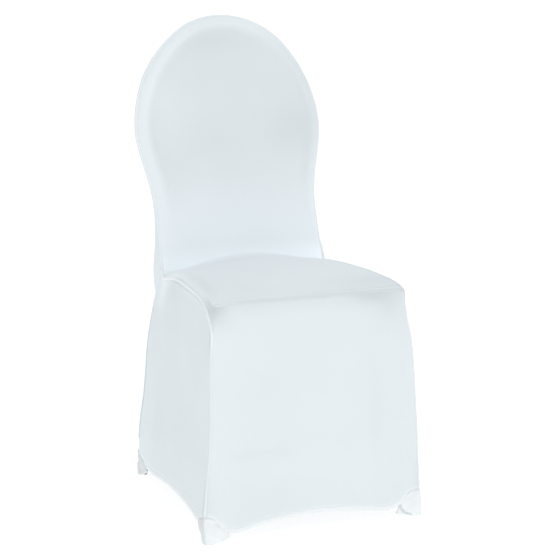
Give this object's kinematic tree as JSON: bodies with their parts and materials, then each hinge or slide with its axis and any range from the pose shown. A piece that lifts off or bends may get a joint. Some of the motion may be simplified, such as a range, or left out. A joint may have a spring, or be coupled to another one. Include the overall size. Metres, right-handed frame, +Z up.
{
  "type": "fitted stretch cover for a banquet chair",
  "caption": "White stretch cover that fits a round-backed banquet chair, with an arched hem and pockets that hook under the feet.",
  "frame": {"origin": "on the floor, under the middle of the cover's outer box", "axes": "+Z up, the seat's front faces -Y and the back rises at +Y, +X is the viewer's right when facing the front"},
  "size_m": [0.4544, 0.5512, 0.9497],
  "materials": {
    "panel_cloth": "matt stretch knit",
    "pocket_cloth": "matt doubled stretch knit"
  },
  "bodies": {
    "root": {"front_panel": "panel_cloth", "rear_panel": "panel_cloth", "side_panel_left": "panel_cloth", "side_panel_right": "panel_cloth", "foot_pocket_front_left": "pocket_cloth", "foot_pocket_front_right": "pocket_cloth", "foot_pocket_rear_left": "pocket_cloth", "foot_pocket_rear_right": "pocket_cloth"}
  },
  "joints": []
}
